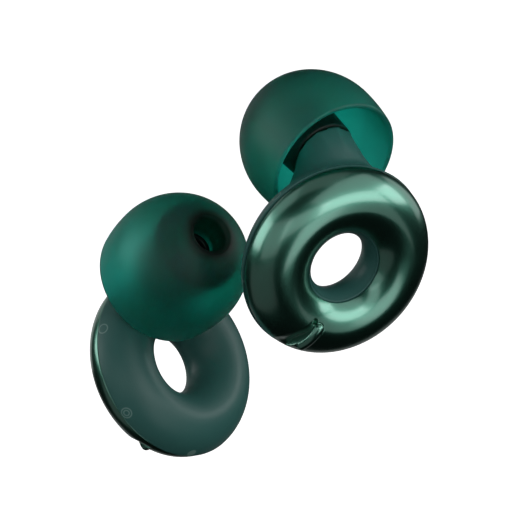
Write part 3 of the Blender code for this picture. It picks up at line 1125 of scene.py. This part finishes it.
@dataclass
class MatteShell:
    """The matte moulded back of the ring, with the hole wall and the horn grown out of it."""

    bench: Bench
    proud: float = 0.15
    horn_end_radius: float = 2.80
    root_out_of_middle: float = 0.13
    root_margin: float = 0.43
    root_half_angle: float = math.radians(74.0)
    root_back: float = 1.20
    flare: float = 1.15
    end_round: float = 0.35
    duct_radius: float = 0.80
    duct_depth: float = 3.95
    blend_reach: float = 1.9
    blend_rounds: int = 90
    voxel: float = 0.13
    spare: float = 0.35
    section_steps: int = 72
    turn_steps: int = 180
    horn_sides: int = 72
    horn_steps: int = 30
    hollow_steps: int = 60
    hollow_turn_steps: int = 240
    edge_round: float = 0.10
    mouth_drop: float = 0.25
    mouth_rise: float = 0.30
    mouth_spread: float = 0.55
    mark_turn: float = math.radians(-20.0)
    mark_kinds: tuple[PrintedMark, ...] = (
        PrintedMark((), filled=0.42), PrintedMark((0.24, 0.45)), PrintedMark((0.42,)))

    def body(self) -> Shape:
        """The plain ring, a little higher than its finished rims."""
        sizes = self.bench.sizes
        section = sizes.section
        lip, seam = sizes.lip + self.spare, sizes.seam + self.spare
        start = section.turn_at(seam)
        end = -math.pi - section.turn_at(lip)
        outline = [
            (radius + self.proud * max(radius - section.middle, 0.0) / section.half_width, height)
            for radius, height in section.stretch(start, end, self.section_steps)
        ]
        outline += [(section.middle, lip), (section.middle, seam)]
        return turned(outline, self.turn_steps)

    def horn_loops(self) -> list[list[Vector]]:
        """The horn's sections, from its bean-shaped root in the ring to its round end."""
        sizes = self.bench.sizes
        section = sizes.section
        placing = sizes.tip_in_ring
        to_tip = placing.inverted()
        root_radius = section.middle + self.root_out_of_middle
        root_half_width = section.half_width - self.root_margin
        roots = []
        for i in range(self.horn_sides):
            turn = math.tau * i / self.horn_sides
            bearing = math.pi / 2.0 - self.root_half_angle * math.cos(turn)
            radius = root_radius + root_half_width * math.sin(turn)
            flat = radius * math.cos(bearing), radius * math.sin(bearing)
            roots.append(to_tip @ Vector((*flat, -self.root_back)))
        loops = []
        for k in range(self.horn_steps + 1):
            along = k / self.horn_steps
            across = 1.0 - (1.0 - along) ** self.flare
            loop = []
            for root in roots:
                bearing = math.atan2(root.y, root.x)
                end = Vector((math.cos(bearing), math.sin(bearing), 0.0)) * self.horn_end_radius
                end.z = sizes.horn_end
                point = root.lerp(end, across)
                point.z = root.z + (end.z - root.z) * along
                loop.append(placing @ point)
            loops.append(loop)
        return loops

    def join_points(self, loops: list[list[Vector]]) -> KDTree:
        """Where the horn's flanks leave the ring, for smoothing the join."""
        section = self.bench.sizes.section
        points = []
        for flank in zip(*loops):
            for near, far in zip(flank[:-1], flank[1:]):
                inside = section.level(math.hypot(near.x, near.y), near.z) < 1.0
                outside = section.level(math.hypot(far.x, far.y), far.z) >= 1.0
                if inside and outside:
                    points.append((near + far) / 2.0)
        tree = KDTree(len(points))
        for i, point in enumerate(points):
            tree.insert(point, i)
        tree.balance()
        return tree

    def hollow(self) -> Shape:
        """What is cut from the body: its inside, and all that stands above its two rims."""
        sizes = self.bench.sizes
        section = sizes.section
        wall = sizes.wall
        start, end = section.turn_at(sizes.seam, wall), -math.pi - section.turn_at(sizes.lip, wall)
        inside = section.stretch(start, end, self.hollow_steps, wall)
        edge = self.edge_round
        lip_radius = section.point(math.pi - section.turn_at(sizes.lip))[0]
        rim_radius = section.point(section.turn_at(sizes.seam))[0] + self.proud
        clear, top = rim_radius + 1.0, sizes.lip + 2.0
        lip_foot, rim_foot = sizes.lip - 2.0 * edge, sizes.seam - 2.0 * edge
        lid = arc((lip_radius + edge, sizes.lip - edge), edge, math.pi / 2.0, math.pi, 5)
        lid += [(lip_radius - edge, lip_foot), (lip_radius - edge, top), (clear, top)]
        lid += [(clear, rim_foot), (rim_radius + edge * 0.3, rim_foot)]
        lid += arc((rim_radius - edge, sizes.seam - edge), edge, 0.0, math.pi / 2.0, 5)
        return turned(inside + lid, self.hollow_turn_steps)

    def marks(self) -> list[tuple[PrintedMark, Vector]]:
        """The three mode marks: a dot, a double ring and a single ring, a mode's turn apart."""
        sizes = self.bench.sizes
        radius, height = sizes.section.point(self.mark_turn)
        radius += self.proud
        placed = []
        for i, kind in enumerate(self.mark_kinds):
            bearing = sizes.first_mark - i * sizes.mode_step
            spot = Vector((radius * math.cos(bearing), radius * math.sin(bearing), height))
            placed.append((kind, self.bench.ring @ spot))
        return placed

    def mouth_and_duct(self) -> list[Shape]:
        """What is cut from the horn: the nozzle's seat with a flared mouth, and the duct below."""
        sizes = self.bench.sizes
        socket = sizes.nozzle_radius + sizes.seat_gap
        seat = sizes.horn_end - sizes.nozzle_seat - sizes.seat_gap
        above = sizes.horn_end + 1.0
        flared = socket + self.mouth_spread
        corners = [
            (0.0, seat), (socket, seat), (socket, sizes.horn_end - self.mouth_drop),
            (flared, sizes.horn_end + self.mouth_rise), (flared, above), (0.0, above),
        ]
        mouth = turned(eased(corners, [0.0, 0.0, 0.2, 0.0, 0.0, 0.0]), 96)
        duct = round_bar(self.duct_radius, sizes.horn_end - self.duct_depth, seat + 0.2, 48)
        for tool in (mouth, duct):
            bmesh.ops.transform(tool, matrix=sizes.tip_in_ring, verts=tool.verts)
        return [mouth, duct]

    def build(self) -> None:
        """Fuse the ring and the horn, blend the join, cut the inside and place the shell."""
        loops = self.horn_loops()
        joins = self.join_points(loops)
        shape = carved(self.body(), lofted(loops), "UNION")
        shape = remeshed(shape, self.voxel)
        softened(shape, joins, self.blend_reach, self.blend_rounds)
        relax(shape, shape.verts)
        for tool in (self.hollow(), *self.mouth_and_duct()):
            shape = carved(shape, tool, "DIFFERENCE")
        bench = self.bench
        material = bench.palette.shell_material(bench.side, self.marks())
        bench.finish(
            shape, "matte_shell", "rear_shell", Holder.RING, "plug", "shell_matte", material)


@dataclass
class SiliconeTip:
    """The soft dome with its bore, its inner sleeve and its open skirt."""

    bench: Bench
    radius: float = 6.10
    crown: float = 6.65
    skirt: float = 10.0
    rim_height: float = -3.10
    rim_wall: float = 0.45
    wall: float = 0.75
    bore_margin: float = 0.17
    lip: float = 0.62
    sleeve_wall: float = 0.58
    sleeve_flare: float = 0.50
    vault_round: float = 0.9
    # where the painted core shade fades out, on the outside and on the inside of the tip
    shade_fade_outside: tuple[float, float] = (1.75, 2.75)
    shade_fade_inside: tuple[float, float] = (2.9, 3.9)
    dome_steps: int = 40
    lip_steps: int = 10
    vault_steps: int = 30
    vault_skip: int = 4
    skirt_steps: int = 12
    steps: int = 144

    def dome(self, height: float, inset: float = 0.0) -> float:
        """The radius of the dome, or of a surface inside it, at a height."""
        reach = (self.crown if height > 0.0 else self.skirt) - inset
        return (self.radius - inset) * math.sqrt(1.0 - (height / reach) ** 2)

    def outline(self) -> Outline:
        """The closed section, from the widest circle over the crown and back by the inside."""
        sizes = self.bench.sizes
        bore = sizes.nozzle_bore + self.bore_margin
        lip_radius = bore + self.lip
        last = math.acos(lip_radius / self.radius)
        turns = [last * i / self.dome_steps for i in range(self.dome_steps + 1)]
        points = [(self.radius * math.cos(t), self.crown * math.sin(t)) for t in turns]
        slope = (Vector(points[-1]) - Vector(points[-2])).normalized()
        corner = Vector((bore, points[-1][1] + slope.y / slope.x * (bore - lip_radius)))
        lip_end = Vector((bore, corner.y - self.lip * 1.15))
        points += bend(Vector(points[-1]), corner, lip_end, self.lip_steps)[1:]
        return points + self.inside(bore)

    def inside(self, bore: float) -> Outline:
        """The bore, the sleeve, the vault under the dome and the skirt's inside with its rim."""
        sizes = self.bench.sizes
        shoulder = sizes.nozzle_end + 2.0 * sizes.seat_gap
        hug = sizes.barb_radius + sizes.running_gap
        foot = sizes.horn_end + sizes.running_gap
        sleeve = hug + self.sleeve_wall
        vault = self.crown - 3.0 * self.wall
        root = sleeve + self.sleeve_flare
        corner = vault * math.sqrt(1.0 - (root / (self.radius - self.wall)) ** 2)
        sleeve_points = [
            (bore, shoulder + self.wall), (bore, shoulder), (hug, shoulder), (hug, foot),
            (sleeve, foot), (sleeve + self.sleeve_flare * 0.4, shoulder - self.wall * 1.6),
            (root, corner),
        ]
        roundings = [0.0, 0.12, 0.08, 0.14, 0.26, 0.8, self.vault_round]
        vault_points = []
        top = math.asin(corner / vault)
        for i in range(self.vault_skip + 1, self.vault_steps + 1):
            turn = top * (1.0 - i / self.vault_steps)
            inner = self.radius - self.wall
            vault_points.append((inner * math.cos(turn), vault * math.sin(turn)))
        roundings += [0.0] * len(vault_points)
        return eased(sleeve_points + vault_points, roundings, 8) + self.skirt_inside()

    def skirt_inside(self) -> Outline:
        """Down the skirt's inside, round its rim and up its outside to the widest circle."""
        points = []
        rim = self.rim_height
        half = self.rim_wall / 2.0
        count = self.skirt_steps
        for i in range(1, count + 1):
            height = (rim + half) * i / count
            thickness = self.wall + (self.rim_wall - self.wall) * i / count
            points.append((self.dome(height) - thickness, height))
        middle = self.dome(rim + half) - half
        points += arc((middle, rim + half), half, -math.pi, 0.0, count)[1:-1]
        for i in range(count, 0, -1):
            height = (rim + half) * i / count
            points.append((self.dome(height), height))
        return points

    def paint_core_shade(self, shape: Shape) -> None:
        """Mark the bore, its lip and the sleeve, where the silicone lies thick over the nozzle, for
        painted shade standing in for the nozzle's shade.
        """
        layer = shape.verts.layers.float.new(PAINTED_SHADE_ATTRIBUTE)
        for corner in shape.verts:
            radius = math.hypot(corner.co.x, corner.co.y)
            height = corner.co.z
            surface = self.dome(min(max(height, 0.0), self.crown - 0.001))
            outside = height > 0.0 and surface - radius < 0.05
            fade = self.shade_fade_outside if outside else self.shade_fade_inside
            corner[layer] = 1.0 - smooth_share(radius, *fade)

    def build(self) -> None:
        """Turn and place the tip."""
        shape = turned(self.outline(), self.steps)
        # painted shade round the nozzle, carried by a mesh attribute
        self.paint_core_shade(shape)
        self.bench.finish(shape, "silicone_tip", "ear_tip", Holder.TIP, "tip", "tip_silicone")


@dataclass
class NozzleAndFilter:
    """The barbed nozzle in the horn, with the acoustic filter and the wax screen inside it."""

    bench: Bench
    barb_length: float = 0.90
    filter_wall: float = 0.30
    cup_length: float = 1.60
    membrane: float = 0.15
    retainer_length: float = 0.50
    screen: float = 0.15
    screen_inset: float = 0.35
    wires: int = 7
    wire_radius: float = 0.045
    screen_rim: float = 0.16
    steps: int = 96

    def tube(self) -> Shape:
        """The nozzle: a tube with eased mouth and a barb."""
        sizes = self.bench.sizes
        foot = sizes.horn_end - sizes.nozzle_seat
        end = sizes.nozzle_end
        barb = sizes.barb_radius
        corners = [
            (sizes.nozzle_bore, foot), (sizes.nozzle_radius, foot),
            (sizes.nozzle_radius, end - self.barb_length), (barb, end - self.barb_length + 0.2),
            (barb, end), (sizes.nozzle_bore, end),
        ]
        return turned(eased(corners, [0.05, 0.12, 0.06, 0.10, 0.24, 0.12], 6), self.steps)

    def sleeve_ring(self, low: float, length: float) -> Shape:
        """A thin-walled ring that fits the nozzle's bore."""
        outer = self.bench.sizes.nozzle_bore - self.bench.sizes.seat_gap
        corners = rectangle(outer - self.filter_wall, outer, low, low + length)
        return turned(eased(corners, [0.05] * 4, 3), self.steps)

    def disc(self, low: float, thickness: float) -> Shape:
        """A thin disc with eased edges that fits the nozzle's bore."""
        outer = self.bench.sizes.nozzle_bore - self.bench.sizes.seat_gap
        shape = round_bar(outer, low, low + thickness, self.steps)
        rims = [edge for edge in shape.edges if abs((edge.verts[0].co - edge.verts[1].co).z) < 1e-6]
        bmesh.ops.bevel(
            shape, geom=rims, offset=thickness * 0.3, affect="EDGES", segments=3, profile=0.5,
            material=-1,
        )
        return shape

    def wire_screen(self, low: float) -> Shape:
        """The wax screen: a rim with two layers of crossing wires."""
        outer = self.bench.sizes.nozzle_bore - self.bench.sizes.seat_gap
        rim = rectangle(outer - self.screen_rim, outer, low, low + self.screen)
        shape = turned(eased(rim, [0.04] * 4, 3), self.steps)
        pitch = 2.0 * outer / (self.wires + 1)
        for layer, turn in ((0.33, 0.0), (0.67, math.pi / 2.0)):
            for i in range(self.wires):
                off = pitch * (i + 1) - outer
                length = 2.0 * math.sqrt((outer - self.screen_rim / 2.0) ** 2 - off ** 2)
                spot = Matrix.Translation((off, 0.0, low + self.screen * layer))
                lay = Matrix.Rotation(turn, 4, "Z") @ spot @ Matrix.Rotation(math.pi / 2.0, 4, "X")
                bmesh.ops.create_cone(
                    shape, cap_ends=True, segments=8, radius1=self.wire_radius,
                    radius2=self.wire_radius, depth=length, matrix=lay,
                )
        return shape

    def build(self) -> None:
        """Place the nozzle and what it holds."""
        sizes = self.bench.sizes
        cup = sizes.horn_end - sizes.nozzle_seat + sizes.wall
        membrane = cup + (self.cup_length + sizes.seat_gap)
        keeper = membrane + (self.membrane + sizes.seat_gap)
        screen = sizes.nozzle_end - self.screen_inset - self.screen
        pieces = (
            (self.tube(), "barbed_nozzle", "nozzle", "nozzle_black"),
            (self.sleeve_ring(cup, self.cup_length), "acoustic_cup", "filter_cup",
             "inner_plastic"),
            (self.disc(membrane, self.membrane), "acoustic_membrane", "filter_membrane",
             "filter_mesh"),
            (self.sleeve_ring(keeper, self.retainer_length), "membrane_retainer",
             "filter_retainer", "inner_plastic"),
            (self.wire_screen(screen), "wax_screen", "nozzle_screen", "filter_mesh"),
        )
        for shape, name, part, slot in pieces:
            self.bench.finish(shape, name, part, Holder.TIP, "plug", slot)


@dataclass
class SoundPlates:
    """The turning shutter, the fixed port plate under it and the foam gasket that seals it."""

    bench: Bench
    shutter_height: float = -0.40
    shutter_thickness: float = 0.40
    plate_thickness: float = 0.40
    gasket_thickness: float = 0.45
    window_radius: float = 0.95
    mode_holes: tuple[float, ...] = (0.80, 0.50, 0.25)
    hole_steps: int = 40
    steps: int = 180

    def flat_ring(self, low: float, thickness: float, extra: float = 0.0) -> Shape:
        """A flat ring that fills the hollow body between two heights, less its gap."""
        sizes = self.bench.sizes
        section = sizes.section
        high = low + thickness
        reach = min(section.half_width_at(low, sizes.wall), section.half_width_at(high, sizes.wall))
        reach -= sizes.seat_gap + extra
        corners = rectangle(section.middle - reach, section.middle + reach, low, high)
        return turned(eased(corners, [0.05] * 4, 3), self.steps)

    def drilled(self, shape: Shape, angle: float, radius: float, height: float) -> Shape:
        """Drill a round hole through a ring.

        Args:
            shape: the ring. It is used up.
            angle: the hole's angle on the ring's middle circle, in radians.
            radius: the hole's radius.
            height: the height of the ring's lower face.

        Returns:
            The drilled ring.
        """
        middle = self.bench.sizes.section.middle
        spot = (middle * math.cos(angle), middle * math.sin(angle))
        drill = round_bar(radius, height - 1.0, height + 1.0, self.hole_steps, spot)
        return carved(shape, drill, "DIFFERENCE")

    def build(self) -> None:
        """Place the three rings."""
        sizes = self.bench.sizes
        bench = self.bench
        low = self.shutter_height
        shape = self.flat_ring(low, self.shutter_thickness, sizes.running_gap)
        for mode, radius in enumerate(self.mode_holes):
            angle = math.pi / 2.0 + mode * sizes.mode_step + bench.dial_turn
            shape = self.drilled(shape, angle, radius, low)
        bench.finish(shape, "mode_shutter", "shutter", Holder.RING, "dial", "inner_plastic")
        low -= sizes.running_gap + self.plate_thickness
        shape = self.flat_ring(low, self.plate_thickness)
        shape = self.drilled(shape, math.pi / 2.0, self.window_radius, low)
        bench.finish(shape, "window_plate", "port_plate", Holder.RING, "plug", "inner_plastic")
        low -= sizes.seat_gap + self.gasket_thickness
        shape = self.flat_ring(low, self.gasket_thickness)
        shape = self.drilled(shape, math.pi / 2.0, self.window_radius, low)
        bench.finish(shape, "foam_gasket", "plate_gasket", Holder.RING, "plug", "gasket_foam")


@dataclass
class DialHardware:
    """The split clip that keeps the dial on, and the leaf spring that clicks it into its modes."""

    bench: Bench
    clip_height: float = 0.22
    clip_thickness: float = 0.40
    clip_width: float = 0.55
    clip_sweep: float = math.radians(320.0)
    spring_thickness: float = 0.12
    spring_height: float = 0.18
    spring_width: float = 0.50
    spring_sweep: float = math.radians(56.0)

    def build(self) -> None:
        """Place the clip and the spring."""
        sizes = self.bench.sizes
        section = sizes.section
        high = self.clip_height + self.clip_thickness
        inner = section.middle - section.half_width_at(high, sizes.wall) + sizes.running_gap
        corners = rectangle(inner, inner + self.clip_width, self.clip_height, high)
        start = -math.pi / 2.0 - self.clip_sweep / 2.0
        clip = swept_bar(eased(corners, [0.12] * 4, 5), start, self.clip_sweep, 150)
        self.bench.finish(clip, "split_clip", "dial_clip", Holder.RING, "plug", "spring_steel")
        top = self.spring_height + self.spring_width
        outer = section.middle + section.half_width_at(top, sizes.wall) - 2.0 * sizes.running_gap
        corners = rectangle(outer - self.spring_thickness, outer, self.spring_height, top)
        start = math.pi / 2.0 - self.spring_sweep / 2.0
        leaf = swept_bar(eased(corners, [0.03] * 4, 3), start, self.spring_sweep, 60)
        self.bench.finish(leaf, "leaf_spring", "detent_spring", Holder.RING, "plug", "spring_steel")


@dataclass
class EarPlug:
    """One plug with all its pieces."""

    side: Side
    palette: Palette
    sizes: PlugSizes = PlugSizes()

    def build(self) -> None:
        """Build every piece in order."""
        bench = Bench(self.side, self.sizes, self.palette)
        kinds = (MatteShell, MetalDial, SiliconeTip, NozzleAndFilter, SoundPlates, DialHardware)
        for kind in kinds:
            kind(bench).build()


# --------------------------------------------------------------------------------------------
# Studio


@dataclass(frozen=True)
class SoftBox:
    """A soft light that faces the pair, by its bearing, its lift and how wide and high it looks."""

    name: str
    bearing: float
    lift: float
    wide: float
    high: float
    brightness: float

    def place(self, centre: Vector, distance: float) -> None:
        """Stand the light at a distance from a centre.

        Args:
            centre: the point that it faces.
            distance: how far away it stands, in metres.
        """
        turn, lift = math.radians(self.bearing), math.radians(self.lift)
        away = Vector((
            math.sin(turn) * math.cos(lift), math.cos(turn) * math.cos(lift), math.sin(lift)))
        lamp = bpy.data.lights.new(self.name, "AREA")
        lamp.shape = "RECTANGLE"
        lamp.size = 2.0 * distance * math.tan(math.radians(self.wide / 2.0))
        lamp.size_y = 2.0 * distance * math.tan(math.radians(self.high / 2.0))
        lamp.energy = math.pi * lamp.size * lamp.size_y * self.brightness
        stand = bpy.data.objects.new(self.name, lamp)
        stand.location = centre + away * distance
        stand.rotation_euler = away.to_track_quat("Z", "Y").to_euler()
        stand.visible_camera = False
        bpy.context.scene.collection.objects.link(stand)


@dataclass
class Studio:
    """The pale floor, the soft lights and the camera."""

    centre: Vector
    lowest: float
    focus: Vector
    floor_drop: float = 0.09
    floor_size: float = 6.0
    floor_glow: float = 0.93
    floor_roughness: float = 0.9
    room_colour: Colour = (0.55, 0.62, 0.60, 1.0)
    room_strength: float = 0.01
    camera_lift: float = math.radians(20.0)
    camera_distance: float = 0.24697
    ring_right_of_axis: float = 0.006387
    ring_below_axis: float = 0.000016
    focal_length: float = 208.5
    sensor_width: float = 36.0
    light_distance: float = 0.5
    boxes: tuple[SoftBox, ...] = (
        SoftBox("left_key", -92.0, 18.0, 44.0, 30.0, 1.80),
        SoftBox("left_upper", -90.0, 50.0, 40.0, 34.0, 0.42),
        SoftBox("right_edge", 84.0, 20.0, 28.0, 24.0, 2.20),
        SoftBox("right_key", 128.0, 20.0, 50.0, 24.0, 2.10),
        SoftBox("right_low", 150.0, -10.0, 32.0, 30.0, 1.05),
        SoftBox("right_low_side", 120.0, -10.0, 28.0, 30.0, 0.30),
        SoftBox("right_upper", 112.0, 50.0, 80.0, 36.0, 0.60),
        SoftBox("front_fill", 175.0, 20.0, 48.0, 24.0, 0.70),
        SoftBox("front_left_fill", 216.0, 14.0, 44.0, 40.0, 0.42),
        SoftBox("back_low", -15.0, -10.0, 56.0, 30.0, 0.36),
        SoftBox("back_floor", 0.0, -42.0, 60.0, 30.0, 0.14),
        SoftBox("back_left", -40.0, 20.0, 22.0, 24.0, 0.38),
        SoftBox("back_right", 54.0, 12.0, 28.0, 34.0, 0.65),
        SoftBox("low_left_fill", 232.0, -34.0, 70.0, 46.0, 0.11),
        SoftBox("top", 0.0, 85.0, 44.0, 44.0, 0.20),
    )

    def floor(self) -> None:
        """A plain pale floor well under the pair, which hangs free of it."""
        shape = bmesh.new()
        low = Matrix.Translation((self.centre.x, self.centre.y, self.lowest - self.floor_drop))
        bmesh.ops.create_grid(
            shape, x_segments=1, y_segments=1, size=self.floor_size / 2.0, matrix=low)
        mesh = bpy.data.meshes.new("pale_floor")
        shape.to_mesh(mesh)
        shape.free()
        sheet = NodeSheet("pale_floor_paint")
        paint = sheet.blend(sheet.noise(40.0), (0.86, 0.86, 0.86, 1.0), (0.88, 0.88, 0.88, 1.0))
        sheet.set(
            Base_Color=paint, Roughness=self.floor_roughness,
            Emission_Color=(1.0, 1.0, 1.0, 1.0), Emission_Strength=self.floor_glow,
        )
        mesh.materials.append(sheet.material)
        floor = bpy.data.objects.new("pale_floor", mesh)
        bpy.context.scene.collection.objects.link(floor)
        floor.visible_glossy = False
        floor.visible_diffuse = False
        floor.visible_transmission = False
        floor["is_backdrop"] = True

    def surroundings(self) -> None:
        """A dim grey room, so that the metal has something dark to mirror."""
        world = bpy.data.worlds.new("dim_room")
        world.use_nodes = True
        background = world.node_tree.nodes["Background"]
        background.inputs["Color"].default_value = self.room_colour
        background.inputs["Strength"].default_value = self.room_strength
        bpy.context.scene.world = world

    def camera(self) -> None:
        """A long lens that looks down at the pair from the front."""
        data = bpy.data.cameras.new("view")
        data.sensor_width = self.sensor_width
        data.lens = self.focal_length
        data.clip_start = 0.01
        data.clip_end = 20.0
        ahead = Vector((0.0, math.cos(self.camera_lift), -math.sin(self.camera_lift)))
        below = Vector((0.0, -math.sin(self.camera_lift), -math.cos(self.camera_lift)))
        eye = bpy.data.objects.new("view", data)
        eye.location = (
            self.focus - ahead * self.camera_distance
            - Vector((self.ring_right_of_axis, 0.0, 0.0)) - below * self.ring_below_axis)
        eye.rotation_euler = Euler((math.pi / 2.0 - self.camera_lift, 0.0, 0.0))
        bpy.context.scene.collection.objects.link(eye)
        bpy.context.scene.camera = eye

    def build(self) -> None:
        """Set up the whole studio."""
        self.floor()
        self.surroundings()
        for box in self.boxes:
            box.place(self.centre, self.light_distance)
        self.camera()
        bpy.context.scene.view_settings.view_transform = "Standard"


def main() -> None:
    """Build the studio and both plugs round the frame."""
    logging.basicConfig(level=logging.INFO, format="%(name)s: %(message)s")
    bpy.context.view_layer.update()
    low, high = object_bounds()
    centre = (Vector(low) + Vector(high)) / 2.0
    joints = {joint["name"]: joint for joint in frame["record"]["behaviour"]["joints"]}
    Studio(centre, low[2], Vector(joints["right_dial_turn"]["pos_m"])).build()
    palette = Palette()
    for side in Side:
        EarPlug(side, palette).build()


if __name__ == "__main__":
    main()
